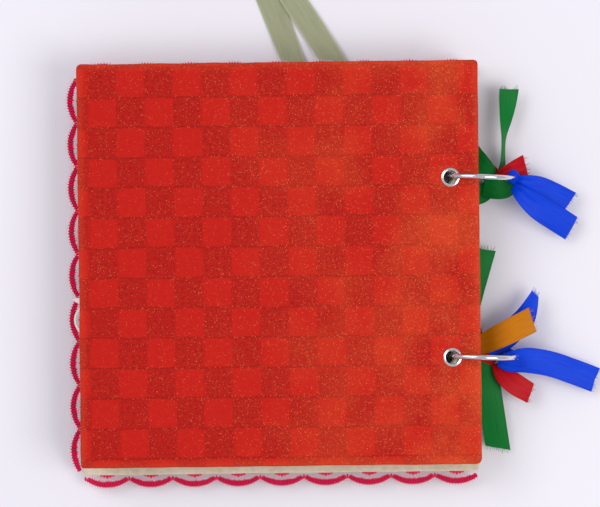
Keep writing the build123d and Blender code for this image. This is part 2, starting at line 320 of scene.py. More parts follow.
ink_and_highlight_edge, taken, given = start_group(
    "ink and highlight edge",
    {"Middle X": 0.0, "Middle Y": 0.0, "Half Width": 0.1, "Half Length": 0.1, "Reach": 0.008},
    ["Mask"],
)
x, y, _ = axes_of(taken["Place"])
to_side = taken["Half Width"] - abs(x - taken["Middle X"])
to_end = taken["Half Length"] - abs(y - taken["Middle Y"])
inside = to_side.calc("MINIMUM", to_end) / taken["Reach"]
ragged_noise = noise_of(taken["Place"], 260.0, 4.0, 0.7) * 0.9
feed(given["Mask"], stretch(inside + ragged_noise - 0.45, 0.0, 1.0, 1.0, 0.0))


def ink_and_highlight_mask(place, node, reach):
    """The mask of a band round the edge of a node's sheet: ink on paper, a painted highlight on the cotton's
    rim.
    """
    low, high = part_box(node)
    center, half = (low + high) / 2, (high - low) / 2
    mask = use_group(ink_and_highlight_edge, place, Middle_X=center.x, Middle_Y=center.y, Half_Width=half.x,
                     Half_Length=half.y, Reach=reach)
    return mask["Mask"]


print("groups:", [group.name for group in bpy.data.node_groups])

# %% [markdown]
# ### The red check cotton
#
# The cloth is a check: plain bright squares take turns with darker squares that are printed
# with rows of small rings and gold glitter. Thin dark lines run between the rows. The glitter
# metal catches more light towards the spine, and that light is painted: an orange sheen and extra
# glitter grow that way. A lighter orange band along the rim is a painted highlight. The colours
# are laid over each other in turn, each one by its own mask.

# %% Masks of the check, the printed rings and the glitter
CHECK_WIDTH = 14.4 * MM
CHECK_LENGTH = 15.3 * MM
COLUMN_START = 0.69
ROW_START = 0.41
RING_PITCH = 2.9 * MM
GLITTER_PITCH = 0.75 * MM

red_cotton, slots, place = start_finish("red check cotton", 0.62, specular=0.12)
x, y, _ = axes_of(place)
shift = (noise_of(place, 60.0) - 0.5) * 0.16
column_wave = ((x / CHECK_WIDTH + shift + COLUMN_START) * math.pi).calc("SINE")
row_wave = ((y / CHECK_LENGTH + shift + ROW_START) * math.pi).calc("SINE")
checker = stretch(column_wave * row_wave, -0.10, 0.10)
row_lines = stretch(abs(row_wave), 0.03, 0.12, 1.0, 0.0)
lines = row_lines.calc("MAXIMUM", stretch(abs(column_wave), 0.02, 0.08, 0.35, 0.0))

dots = Signal(cells_of(place, RING_PITCH, 0.28)["Distance"])
ring_print = stretch(abs(dots - 0.30), 0.04, 0.15, 1.0, 0.0) * checker
ring_eye = stretch(dots, 0.08, 0.2, 1.0, 0.0) * checker

specks = cells_of(place, GLITTER_PITCH, 1.0)
speck_size = stretch(Signal(specks["Distance"]), 0.12, 0.42, 1.0, 0.0)
speck_luck = axes_of(Signal(specks["Color"]))[0]
# Painted light: a gradient towards the spine that adds a painted orange sheen and extra glitter, in place of
# the light that the glitter catches there.
painted_sheen_toward_spine = stretch(x, -0.06, 0.11)
patch = noise_of(place, 28.0, 3.0, 0.6)
# Glitter density: random patches and the printed rings, plus the painted glint that grows towards the spine.
glitter_density_with_painted_glint = painted_sheen_toward_spine * 0.30 + patch * 0.34 + ring_print.calc("MAXIMUM", lines) * 0.30
glitter = speck_size * stretch(glitter_density_with_painted_glint - speck_luck, -0.04, 0.26)
print("finish started:", red_cotton.name)

# %% Colours of the cotton, laid over each other
cotton = use_group(weave, place, Threads=2300.0, Slub=0.9)
tone = noise_of(place, 22.0, 4.0, 0.6) * 0.5 + 0.25
bright = blend(tone, (0.47, 0.004, 0.003), (0.59, 0.010, 0.005))
dark = blend(tone, (0.385, 0.003, 0.002), (0.50, 0.007, 0.004))
cloth = blend(checker, bright, dark)
layers = {
    "printed rings": (ring_print * 0.62, (0.22, 0.002, 0.002)),
    "ring eyes": (ring_eye * 0.4, (0.72, 0.05, 0.02)),
    "row lines": (lines * 0.7, (0.25, 0.002, 0.002)),
    "raised threads": (stretch(cotton["Tone"], 0.3, 0.9, 0.0, 0.3), (0.74, 0.035, 0.014)),
    # Painted sheen: a brighter orange that grows towards the spine, in place of light on the glitter.
    "sheen": (painted_sheen_toward_spine ** 1.6 * stretch(patch, 0.4, 0.65, 0.04, 0.46), (0.80, 0.12, 0.025)),
    # Painted highlight: a lighter orange band along the rim, where the rounded rim catches the light.
    "painted rim highlight": (ink_and_highlight_mask(place, "back_fabric_wrap", 4.5 * MM) * 0.3, (0.80, 0.10, 0.03)),
    "glitter": (glitter, (0.84, 0.18, 0.06)),
    "grain": (stretch(noise_of(place, 950.0, 3.0, 0.7), 0.42, 0.62, 0.0, 0.32), (0.36, 0.010, 0.006)),
}
for share, color in layers.values():
    cloth = blend(share, cloth, color)
feed(slots["Base Color"], cloth)
feed(slots["Metallic"], glitter * 0.35)
feed(slots["Roughness"], stretch(glitter, 0.0, 1.0, 0.66, 0.38))
add_relief(slots, cotton["Height"] * 0.55 + ring_eye * 0.7 - lines * 0.6, 0.16 * MM)
print("layers:", list(layers))

# %% [markdown]
# ### Linen, paper, card and foam
#
# The front cover is wrapped in a cream linen. Its finish is the weave group with uneven thread
# tone. The papers and cards use the fibre group, and the decorated sheets add the inked edge.

# %% Linen and paper finishes
BROWN_INK = (0.16, 0.07, 0.03)

cream_linen, slots, place = start_finish("cream linen", 0.8, sheen=0.25)
linen = use_group(weave, place, Threads=1500.0, Slub=1.2)
share = stretch(linen["Tone"] + noise_of(place, 40.0, 3.0) - 0.5, 0.1, 0.9)
feed(slots["Base Color"], blend(share, (0.60, 0.50, 0.35), (0.83, 0.74, 0.58)))
add_relief(slots, linen["Height"], 0.18 * MM)


def paper_finish(name, light, deep, node=None, reach=8 * MM, rough=0.75):
    """Paper or card between two tones, with rubbed ink along the edges of a node's sheet."""
    finish, slots, place = start_finish(name, rough)
    sheet = use_group(fibre, place)
    color = blend(stretch(sheet["Tone"], 0.3, 0.7), deep, light)
    if node:
        color = blend(ink_and_highlight_mask(place, node, reach) * 0.75, color, BROWN_INK)
    feed(slots["Base Color"], color)
    add_relief(slots, sheet["Height"], 0.04 * MM, 0.7)
    return finish


lining_paper = paper_finish("lining paper", (0.78, 0.70, 0.55), (0.66, 0.57, 0.42), "back_lining")
grey_board = paper_finish("grey board", (0.34, 0.30, 0.25), (0.24, 0.21, 0.17))
batting = paper_finish("batting", (0.85, 0.84, 0.80), (0.75, 0.74, 0.70), rough=0.95)
leaf_board = paper_finish("kraft leaf board", (0.46, 0.31, 0.17), (0.34, 0.22, 0.12))
leaf_paper = paper_finish("leaf paper", (0.80, 0.73, 0.58), (0.70, 0.62, 0.46), "leaf_3_front_paper")
white_card = paper_finish("white card", (0.97, 0.97, 0.96), (0.92, 0.92, 0.91), rough=0.6)
mat_card = paper_finish("mat card", (0.42, 0.03, 0.04), (0.30, 0.015, 0.025), "front_mat")
frame_card = paper_finish("frame card", (0.80, 0.74, 0.60), (0.68, 0.60, 0.45), "raised_frame_card")
plaque_card = paper_finish("plaque card", (0.50, 0.33, 0.12), (0.38, 0.23, 0.08), "front_plaque", 5 * MM)
foam = paper_finish("foam", (0.88, 0.88, 0.85), (0.78, 0.78, 0.76), rough=0.9)
print("finishes:", len(bpy.data.materials))

# %% [markdown]
# ### Nickel, satin, organza and lace thread
#
# The rings and eyelets are polished nickel with fine scratches and slight haze. Satin ribbon
# has smooth fine ribs across its length and a woven edge, so its finish reads the strip's own
# UV map, which is laid out in metres. Organza is the same with most of its surface open.

# %% Metal
nickel, slots, place = start_finish("polished nickel", 0.16, metallic=1.0)
smudge = noise_of(place, 180.0, 4.0, 0.7)
feed(slots["Base Color"], blend(smudge, (0.62, 0.62, 0.63), (0.82, 0.82, 0.84)))
feed(slots["Roughness"], stretch(smudge, 0.3, 0.7, 0.08, 0.24))
add_relief(slots, noise_of(place, 900.0), 0.01 * MM, 0.5)
print("finish:", nickel.name)

# %% Satin
RIBBON_WIDTH = 12.5 * MM
SATIN_RIBS = 5200.0


def strip_place(place):
    """A strip's UV map in metres."""
    return Signal(place.tree.nodes.new("ShaderNodeUVMap").outputs["UV"])


def selvedge_mask(across, start):
    """The woven edge of a ribbon, from the start to 0.3 mm further out."""
    from_middle = abs(across - RIBBON_WIDTH / 2)
    return stretch(from_middle, RIBBON_WIDTH / 2 - start, RIBBON_WIDTH / 2 - start + 0.3 * MM)


def satin_finish(name, light, deep):
    """Satin ribbon: fine cross ribs, a woven edge and soft bands of shine."""
    finish, slots, place = start_finish(name, 0.4, specular=0.12)
    uv = strip_place(place)
    along, across, _ = axes_of(uv)
    rib = (along * (SATIN_RIBS * math.pi)).calc("SINE")
    streaks = noise_of(scaled(uv, 1.0, 22.0), 90.0, 3.0, 0.6)
    selvedge = selvedge_mask(across, 0.9 * MM)
    color = blend(stretch(streaks, 0.15, 0.85), deep, light)
    feed(slots["Base Color"], blend(selvedge * 0.35, color, deep))
    feed(slots["Roughness"], streaks * 0.16 + 0.3)
    add_relief(slots, rib * 0.3 + selvedge * 0.8, 0.05 * MM)
    return finish


satins = {
    "blue": satin_finish("blue satin", (0.001, 0.075, 0.78), (0.0, 0.022, 0.50)),
    "green": satin_finish("green satin", (0.004, 0.22, 0.035), (0.001, 0.12, 0.016)),
    "red": satin_finish("red satin", (0.56, 0.002, 0.010), (0.38, 0.0, 0.005)),
    "gold": satin_finish("gold satin", (0.62, 0.21, 0.002), (0.44, 0.13, 0.001)),
}
print("satins:", list(satins))

# %% Organza and lace thread
ORGANZA_THREADS = 1900.0

organza, slots, place = start_finish("green organza", 0.45, sheen=0.4)
uv = strip_place(place)
along, across, _ = axes_of(uv)
thread_x, thread_y = (abs((part * (ORGANZA_THREADS * math.pi)).calc("SINE")) for part in (along, across))
open_part = thread_x * thread_y
closed = stretch(open_part, 0.0, 1.0, 0.95, 0.55)
shade = noise_of(scaled(uv, 1.0, 14.0), 60.0)
feed(slots["Base Color"], blend(shade, (0.30, 0.32, 0.17), (0.44, 0.46, 0.28)))
feed(slots["Alpha"], closed.calc("MAXIMUM", selvedge_mask(across, 1.0 * MM)))
add_relief(slots, open_part, 0.04 * MM)


def thread_finish(name, light, deep):
    """Spun thread: a fine twist in the relief and an uneven tone."""
    finish, slots, place = start_finish(name, 0.6, specular=0.15)
    fuzz = noise_of(place, 1500.0, 3.0, 0.6)
    share = stretch(fuzz * 0.6 + noise_of(place, 120.0) * 0.4, 0.3, 0.7)
    feed(slots["Base Color"], blend(share, deep, light))
    add_relief(slots, fuzz, 0.1 * MM)
    return finish


lace_thread = thread_finish("crimson lace thread", (0.86, 0.006, 0.085), (0.70, 0.002, 0.060))
# The padding thread's dark colour is painted shade, for the shadow in the gaps between the stitches.
shade_padding_thread = thread_finish("padding thread painted as shade", (0.36, 0.002, 0.045), (0.26, 0.001, 0.030))
print("finishes:", len(bpy.data.materials))

# %% [markdown]
# ## Helpers for pieces
#
# Every new piece starts as a bmesh and ends the same way: its normals are made to point out,
# sharp edges are marked by their angle, and the object gets its finish and its body.
# The bodies are the hinged pieces of the album, so a piece on the back cover turns with it.


# %% Make an object from a bmesh
def add_piece(name, shape, finishes, body, nodes=(), sharp=40.0):
    """Turn a bmesh into a finished piece that rides on a body and stands for CAD nodes."""
    bmesh.ops.recalc_face_normals(shape, faces=shape.faces)
    for face in shape.faces:
        face.smooth = True
    for edge in shape.edges:
        edge.smooth = len(edge.link_faces) != 2 or edge.calc_face_angle() < math.radians(sharp)
    mesh = bpy.data.meshes.new(name)
    shape.to_mesh(mesh)
    shape.free()
    for finish in finishes:
        mesh.materials.append(finish)
    piece = bpy.data.objects.new(name, mesh)
    bpy.context.collection.objects.link(piece)
    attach(piece, body)
    if nodes:
        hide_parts(*nodes)
    print(f"{name}: {len(mesh.polygons)} faces")
    return piece


def smooth_step(value, low, high):
    """Ease from 0 to 1 while a value goes from low to high."""
    share = min(max((value - low) / (high - low), 0.0), 1.0)
    return share * share * (3 - 2 * share)


# %% Table top
table_top = bmesh.new()
bmesh.ops.create_grid(table_top, x_segments=4, y_segments=4, size=1.6)
bmesh.ops.translate(table_top, verts=table_top.verts, vec=(0, 0, -0.03 * MM))
table_mesh = bpy.data.meshes.new("table_top")
table_top.to_mesh(table_mesh)
table_top.free()
table_finish, slots, place = start_finish("pale table", 0.85, specular=0.1)
feed(slots["Base Color"], blend(noise_of(place, 3.0), (0.80, 0.775, 0.83), (0.86, 0.84, 0.89)))
table_mesh.materials.append(table_finish)
table = bpy.data.objects.new("table_top", table_mesh)
bpy.context.collection.objects.link(table)
print("table top in place")

# %% [markdown]
# ## The cloth-covered boards
#
# A cover is a board with thin batting, wrapped in cloth that turns in on the inner face and is
# mitred at the corners. One closed shell shows all of it. It starts as a cube the size of the
# wrap. The corners and the rim are bevelled, and the inner face is cut along the turn-ins and
# pushed in where the lining lies. More cuts make a grid, and a slow noise moves the grid a
# little as cloth does. The eyelet holes are punched through both faces.

# %% Cover shell
RIM = 1.2 * MM
CLOTH_STEP = 7 * MM
CLOTH_WAVE = 0.22 * MM
EDGE_WAVE = 0.35 * MM
WAVE_SPAN = 24 * MM
CALM_NEAR_HOLE = (6 * MM, 14 * MM)
HOLE_SQUARE = 6.5 * MM
HOLE_INSIDE_LIP = 0.85 * MM
SEAT_DEPTH = 0.3 * MM
MITRE_SIDE = 0.55 * MM
MITRE_DEPTH = 0.3 * MM
lining_low, lining_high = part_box("back_lining")
TURN_IN = (back_high.x - back_low.x - lining_high.x + lining_low.x) / 2
LINING = lining_high.z - lining_low.z
CORNER_RADII = {(-1, 1): 2.6 * MM, (1, 1): 2.2 * MM, (1, -1): 3.0 * MM, (-1, -1): 1.6 * MM}
print("turn-in, mm:", round(TURN_IN / MM, 2), "lining, mm:", round(LINING / MM, 2))


def cut(shape, point, normal, faces=None):
    """Cut a shape, or some of its faces, along a plane."""
    faces = list(faces or shape.faces)
    edges = {edge for face in faces for edge in face.edges}
    verts = {vert for face in faces for vert in face.verts}
    made = bmesh.ops.bisect_plane(
        shape, geom=[*verts, *edges, *faces], dist=1e-7, plane_co=point, plane_no=normal
    )
    return [item for item in made["geom_cut"] if isinstance(item, bmesh.types.BMVert)]


def cut_across(shape, axis, value, faces=None):
    """Cut where one coordinate, X or Y, has a value."""
    cut(shape, Vector((value, value, 0)), Vector((1 - axis, axis, 0)), faces)


def cover_shell(node, outward):
    """The wrap of one cover, with its turn-ins and the recess for its lining."""
    low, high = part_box(node)
    center, size = (low + high) / 2, high - low

    def inner_faces():
        return [face for face in shape.faces if face.normal.z * outward < -0.99]

    shape = bmesh.new()
    bmesh.ops.create_cube(shape, size=1)
    bmesh.ops.scale(shape, verts=shape.verts, vec=size)
    bmesh.ops.translate(shape, verts=shape.verts, vec=center)
    bevel = dict(profile=0.5, affect="EDGES", material=-1)
    for (side_x, side_y), radius in CORNER_RADII.items():
        edges = [
            edge for edge in shape.edges
            if all((vert.co.x - center.x) * side_x > size.x / 2 - 1e-5 for vert in edge.verts)
            and all((vert.co.y - center.y) * side_y > size.y / 2 - 1e-5 for vert in edge.verts)
        ]
        bmesh.ops.bevel(shape, geom=edges, offset=radius, segments=3, **bevel)
    rims = [edge for edge in shape.edges if abs(edge.verts[0].co.z - edge.verts[1].co.z) < 1e-6]
    bmesh.ops.bevel(shape, geom=rims, offset=RIM, segments=4, **bevel)
    for axis in (0, 1):
        cut_across(shape, axis, low[axis] + TURN_IN, inner_faces())
        cut_across(shape, axis, high[axis] - TURN_IN, inner_faces())
    recess = max(inner_faces(), key=lambda face: face.calc_area())
    bmesh.ops.inset_region(shape, faces=[recess], thickness=0.1 * MM)
    bmesh.ops.translate(shape, verts=recess.verts, vec=(0, 0, LINING * outward))
    print(node, "faces of the plain shell:", len(shape.faces))
    return shape


def add_mitres(shape, node, outward):
    """Sink a fine groove along each mitre, from the corner of the recess to the cover's corner."""
    low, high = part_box(node)
    inner_z = low.z if outward > 0 else high.z
    for side_x in (-1, 1):
        for side_y in (-1, 1):
            corner = Vector((high.x if side_x > 0 else low.x, high.y if side_y > 0 else low.y, inner_z))
            across = Vector((side_x, -side_y, 0)).normalized()
            for offset, depth in ((MITRE_SIDE, 0.0), (-MITRE_SIDE, 0.0), (0.0, MITRE_DEPTH)):
                zone = [
                    face for face in shape.faces
                    if face.normal.z * outward < -0.9
                    and (face.calc_center_median() - corner).to_2d().length < TURN_IN * 1.6
                ]
                for vert in cut(shape, corner + across * offset, across, zone):
                    from_corner = (vert.co - corner).to_2d().length
                    if depth and 6 * MM < from_corner < TURN_IN * 1.35:
                        vert.co.z += depth * outward


def add_cloth_grid(shape, low, high):
    """Cut a grid into a shell, so that its faces can move a little."""
    for axis in (0, 1):
        count = round((high[axis] - low[axis]) / CLOTH_STEP)
        for step in range(1, count):
            cut_across(shape, axis, low[axis] + (high[axis] - low[axis]) * step / count)


def settle_cloth(shape, node, eyelets, seed):
    """A slow noise lifts the faces and moves the edges, but leaves the eyelets' seats flat."""
    low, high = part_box(node)
    center = middle(node)
    holes = [middle(name).to_2d() for name in eyelets]
    for vert in shape.verts:
        near = min((vert.co.to_2d() - hole).length for hole in holes)
        calm = smooth_step(near, *CALM_NEAR_HOLE)
        spot = vert.co / WAVE_SPAN + Vector((seed, 0, 0))
        lift = noise.noise(spot) * CLOTH_WAVE * calm
        rim = min(vert.co.x - low.x, high.x - vert.co.x, vert.co.y - low.y, high.y - vert.co.y)
        pull = noise.noise(spot * 1.7 + Vector((0, 9, 0))) * EDGE_WAVE * (1 - smooth_step(rim, 0, 3 * MM))
        vert.co.z += lift
        vert.co.x += pull * (1 if vert.co.x > center.x else -1)
        vert.co.y += pull * (1 if vert.co.y > center.y else -1)


def punch(shape, eyelet):
    """Punch one eyelet hole: open a square on both faces, then bridge it to a round barrel."""
    low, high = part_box(eyelet)
    center, radius = (low + high) / 2, (high.x - low.x) / 2 - HOLE_INSIDE_LIP
    for axis in (0, 1):
        cut_across(shape, axis, center[axis] - HOLE_SQUARE)
        cut_across(shape, axis, center[axis] + HOLE_SQUARE)
    square = [
        face for face in shape.faces
        if max(abs(value) for value in (face.calc_center_median() - center).to_2d()) < HOLE_SQUARE
    ]
    bmesh.ops.delete(shape, geom=square, context="FACES")
    open_edges = [edge for edge in shape.edges if len(edge.link_faces) == 1]
    barrel = []
    for height, is_high in ((high.z - SEAT_DEPTH, True), (low.z + SEAT_DEPTH, False)):
        place = Matrix.Translation((center.x, center.y, height))
        ring = bmesh.ops.create_circle(shape, segments=48, radius=radius, matrix=place)
        circle = list({edge for vert in ring["verts"] for edge in vert.link_edges})
        rim = [edge for edge in open_edges if (edge.verts[0].co.z > center.z) == is_high]
        bmesh.ops.bridge_loops(shape, edges=rim + circle)
        barrel += circle
    bmesh.ops.bridge_loops(shape, edges=barrel)


for side, outward, finish, body, slot_name, seed in (
    ("back", 1, red_cotton, "back_cover", "red_check_cotton", 1.0),
    ("front", -1, cream_linen, "front_cover", "cream_linen", 4.0),
):
    wrap = f"{side}_fabric_wrap"
    eyelets = (f"{side}_eyelet_upper", f"{side}_eyelet_lower")
    shell = cover_shell(wrap, outward)
    add_mitres(shell, wrap, outward)
    add_cloth_grid(shell, *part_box(wrap))
    for eyelet in eyelets:
        punch(shell, eyelet)
    settle_cloth(shell, wrap, eyelets, seed)
    add_piece(f"{side}_cloth_cover", shell, [finish], body, [wrap])

# %% [markdown]
# ## Eyelets
#
# A set eyelet has a smooth rolled lip on the face it was put in from, and a flatter lip on the
# inner side. A profile spun around the hole's axis makes both lips and the barrel in one piece.


# %% Spin the eyelets
LIP_DOMES = {1: 0.45 * MM, -1: 0.26 * MM}
LIP_SEAT = 0.3 * MM
LIP_WIDTH = 1.35 * MM
EYELET_WALL = 0.35 * MM


def eyelet_profile(bore, rim, low, high, outward):
    """The closed outline of an eyelet in radius and height, rolled at both ends."""
    face_high = high - LIP_SEAT
    face_low = low + LIP_SEAT
    half, mid = (rim - bore) / 2, (rim + bore) / 2
    turns = [math.pi * i / 12 for i in range(13)]
    top = [(mid - half * math.cos(a), face_high + LIP_DOMES[outward] * math.sin(a)) for a in turns]
    bottom = [(mid + half * math.cos(a), face_low - LIP_DOMES[-outward] * math.sin(a)) for a in turns]
    wall = bore + EYELET_WALL
    return [*top, (wall, face_high - 0.02 * MM), (wall, face_low + 0.02 * MM), *bottom]


def add_eyelet(node, body, outward):
    """One eyelet, spun around the middle of its hole."""
    low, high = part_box(node)
    center = (low + high) / 2
    rim = (high.x - low.x) / 2
    outline = eyelet_profile(rim - LIP_WIDTH, rim, low.z, high.z, outward)
    shape = bmesh.new()
    verts = [shape.verts.new((center.x + r, center.y, z)) for r, z in outline]
    edges = [shape.edges.new((a, b)) for a, b in zip(verts, verts[1:] + verts[:1])]
    bmesh.ops.spin(shape, geom=[*verts, *edges], cent=center, axis=(0, 0, 1), angle=2 * math.pi,
                   steps=56, use_merge=True)
    add_piece(f"rolled_{node}", shape, [nickel], body, [node], 50)


for side, outward in (("back", 1), ("front", -1)):
    for level in ("upper", "lower"):
        add_eyelet(f"{side}_eyelet_{level}", f"{side}_cover", outward)

# %% [markdown]
# ## Pieces that keep their measured shape
#
# Boards, papers, cards, foam and the rings are plain solids on the real album too, so their
# meshes stay as they are. Each one gets its finish by its name.

# %% Finish the measured pieces
node_finishes = {
    "_board": grey_board, "_padding": batting, "_lining": lining_paper, "front_mat": mat_card,
    "foam_pads": foam, "raised_frame_card": frame_card, "front_plaque": plaque_card,
    "white_flourish": white_card, "_arm": nickel, "_hinge_pin": nickel, "_paper": leaf_paper,
}
finished = 0
for name, node in frame["nodes"].items():
    finish = next((value for key, value in node_finishes.items() if key in name), None)
    if name.startswith("leaf_") and name.endswith("_board"):
        finish = leaf_board
    if finish:
        node.data.materials.clear()
        node.data.materials.append(finish)
        finished += 1
print("measured pieces finished:", finished)

# %% [markdown]
# ## Lace
#
# The edging is a machine lace: a fine net with a row of scallops. Each scallop is a crescent of
# crimson thread laid as close parallel stitches, so a stitch is one small shape that is copied
# along the arc, over a row of padding thread. The padding is real, but its dark colour is painted
# shade for the gaps between the stitches. The net is a thin sheet whose weave opens in the
# finish. The strips are glued under the front cover, with their glued part mitred at its corners,
# and only their scallops pass its edge.

# %% Net finish
NET_CELL = 1.3 * MM
net_lace, slots, place = start_finish("pink net", 0.7)
to_thread = Signal(cells_of(place, NET_CELL, 0.25, "DISTANCE_TO_EDGE")["Distance"])
feed(slots["Alpha"], stretch(to_thread, 0.025, 0.055, 1.0, 0.0))
feed(slots["Base Color"], (0.90, 0.60, 0.68))
print("finish:", net_lace.name)

# %% Lace strip
LACE_GLUED = 12.0 * MM
LACE_REACH = 7.4 * MM
SCALLOP_DEPTH = 3.9 * MM
SCALLOP_PITCH = 23.0 * MM
SCALLOP_BAND = 4.3 * MM
NET_PAST_BAND = 0.5 * MM
CUSP_Y = SCALLOP_DEPTH - LACE_REACH
STITCHES = 16
STITCH_HEIGHT = 0.8 * MM
PADDING_HEIGHT = 0.46 * MM
NET_THICKNESS = 0.12 * MM


def stitch_mesh(name, finish_index):
    """One unit stitch to copy, with its finish."""
    shape = bmesh.new()
    bmesh.ops.create_uvsphere(shape, u_segments=8, v_segments=5, radius=0.5)
    for face in shape.faces:
        face.material_index = finish_index
    mesh = bpy.data.meshes.new(name)
    shape.to_mesh(mesh)
    shape.free()
    return mesh


stitch, shade_padding = stitch_mesh("stitch", 1), stitch_mesh("shade_padding", 2)


def add_stitch(shape, thread, place, heading, length, width, height):
    """One satin stitch: a small long dome, with its length along its heading."""
    turn_to = Matrix.Translation(place) @ Matrix.Rotation(heading, 4, "Z")
    sized = turn_to @ Matrix.Diagonal((length, width, height, 1))
    thread.transform(sized)
    shape.from_mesh(thread)
    thread.transform(sized.inverted())


def add_scallop(shape, left, pitch):
    """The stitched crescent of one scallop, on an arc from cusp to cusp."""
    half = pitch / 2
    radius = (half ** 2 + SCALLOP_DEPTH ** 2) / (2 * SCALLOP_DEPTH)
    center = Vector((left + half, CUSP_Y - SCALLOP_DEPTH + radius))
    reach = math.asin(half / radius)
    for step in range(STITCHES):
        share = (step + 0.5) / STITCHES
        angle = -math.pi / 2 + (share * 2 - 1) * reach
        length = SCALLOP_BAND * (0.76 + 0.24 * math.sin(math.pi * share)) * random.uniform(0.93, 1.06)
        width = 2 * reach * radius / STITCHES
        mid_radius = radius - length / 2
        spot = Vector((center.x + mid_radius * math.cos(angle), center.y + mid_radius * math.sin(angle), 0))
        lean = angle + random.uniform(-0.06, 0.06)
        add_stitch(shape, stitch, spot, lean, length, width * 0.74, STITCH_HEIGHT)
        # The padding row under each stitch is painted dark as the shade in the gaps between the stitches.
        add_stitch(shape, shade_padding, spot, angle, length * 0.84, width * 1.3, PADDING_HEIGHT)
    cusp = (left, CUSP_Y + 1.3 * MM, 0)
    add_stitch(shape, stitch, cusp, math.pi / 2, 2.6 * MM, 1.3 * MM, STITCH_HEIGHT)


def add_motif(shape, middle_x, middle_y):
    """A small leaf motif of five short stitches inside a scallop."""
    for step in range(-2, 3):
        spot = (middle_x + step * 1.5 * MM, middle_y + abs(step) * 0.25 * MM, 0)
        length = (2.8 - abs(step) * 0.6) * MM
        add_stitch(shape, stitch, spot, math.pi / 2 + step * 0.22, length, 1.6 * MM, 0.6 * MM)


def lace_shape(length, seed):
    """A lace strip along X with its scallops towards -Y, and the cover's edge at y = 0."""
    random.seed(seed)
    shape = bmesh.new()
    count = max(1, round(length / SCALLOP_PITCH))
    pitch = length / count
    bmesh.ops.create_grid(shape, x_segments=count * 16, y_segments=8, size=0.5)
    for vert in shape.verts:
        along = vert.co.x * length
        across = vert.co.y + 0.5
        phase = ((along + length / 2) / pitch) % 1.0
        bulge = 1 - (2 * phase - 1) ** 2
        edge_y = CUSP_Y - SCALLOP_DEPTH * bulge - NET_PAST_BAND
        edge_y -= (0.9 + 0.7 * noise.noise(Vector((along / (1.7 * MM), seed, 0)))) * MM * (1 - bulge)
        depth = edge_y + (LACE_GLUED - edge_y) * across
        mitred = 1 - 2 * max(depth, 0.0) / length
        vert.co = (along * mitred, depth, 0)
    bmesh.ops.solidify(shape, geom=shape.faces[:], thickness=NET_THICKNESS)
    for index in range(count):
        left = -length / 2 + index * pitch
        add_scallop(shape, left, pitch)
        add_motif(shape, left + pitch / 2, -0.9 * MM)
        if index:
            add_motif(shape, left, 5.4 * MM)
    return shape


def add_lace(node, length, turned, edge_point, seed):
    """Lay a lace strip along one edge of the front cover."""
    shape = lace_shape(length, seed)
    place = Matrix.Translation((*edge_point, middle(node).z)) @ Matrix.Rotation(turned, 4, "Z")
    bmesh.ops.transform(shape, matrix=place, verts=shape.verts)
    finishes = [net_lace, lace_thread, shade_padding_thread]
    lace = add_piece(f"{node}_net", shape, finishes, "front_cover", [node], 60)


foot_low, foot_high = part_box("lace_foot")
lace_length = foot_high.x - foot_low.x
edge_middle = middle("front_fabric_wrap")
add_lace("lace_foot", lace_length, 0.0, (edge_middle.x, front_low.y), 11)
add_lace("lace_head", lace_length, math.pi, (edge_middle.x, front_high.y), 12)
add_lace("lace_fore_edge", lace_length, -math.pi / 2, (front_low.x, edge_middle.y), 13)

# %% [markdown]
# ## Ribbons
#
# Each ribbon is one length of satin, knotted round a ring with its two ends left loose. A tail
# is a flat grid that is moved onto a smooth line: every point of the line has a width and a
# roll, so the strip can pinch at the knot, stand on edge or twist. Its end is cut at a slant and
# a few threads fray out of it. The knot is a pleated lump with a band around the wire.

# %% Lines, frames and strips
SATIN = 0.25 * MM
STRIP_STEP = 1.1 * MM
STRIP_CELLS = 10
FRAY_THREADS = 24
KNOT_BAND = 3.2 * MM


def smooth_line(points, share):
    """A point of a smooth line through rows of numbers, from 0 at the first to 1 at the last."""
    spans = len(points) - 1
    index = min(int(share * spans), spans - 1)
    t = share * spans - index
    rows = [points[max(index - 1, 0)], points[index], points[index + 1], points[min(index + 2, spans)]]
    weights = (
        (-t + 2 * t ** 2 - t ** 3) / 2, (2 - 5 * t ** 2 + 3 * t ** 3) / 2,
        (t + 4 * t ** 2 - 3 * t ** 3) / 2, (-t ** 2 + t ** 3) / 2,
    )
    return [sum(w * row[i] for w, row in zip(weights, rows)) for i in range(len(points[0]))]


def line_length(points):
    """The length of a smooth line, from 60 short steps."""
    spots = [Vector(smooth_line(points, i / 60)[:3]) for i in range(61)]
    return sum((b - a).length for a, b in zip(spots, spots[1:]))


def strip_frame(points, share, level_across=None):
    """The middle, direction, side, normal and width of a strip at one place on its line."""
    x, y, z, width, roll = smooth_line(points, share)
    back = Vector(smooth_line(points, max(share - 0.01, 0))[:3])
    ahead = Vector(smooth_line(points, min(share + 0.01, 1))[:3])
    direction = (ahead - back).normalized()
    side = Vector(level_across) if level_across else Vector((0, 0, 1)).cross(direction)
    side = (side - direction * side.dot(direction)).normalized()
    side.rotate(Matrix.Rotation(math.radians(roll), 3, direction))
    return Vector((x, y, z)), direction, side, direction.cross(side), max(width, 0.4 * MM)


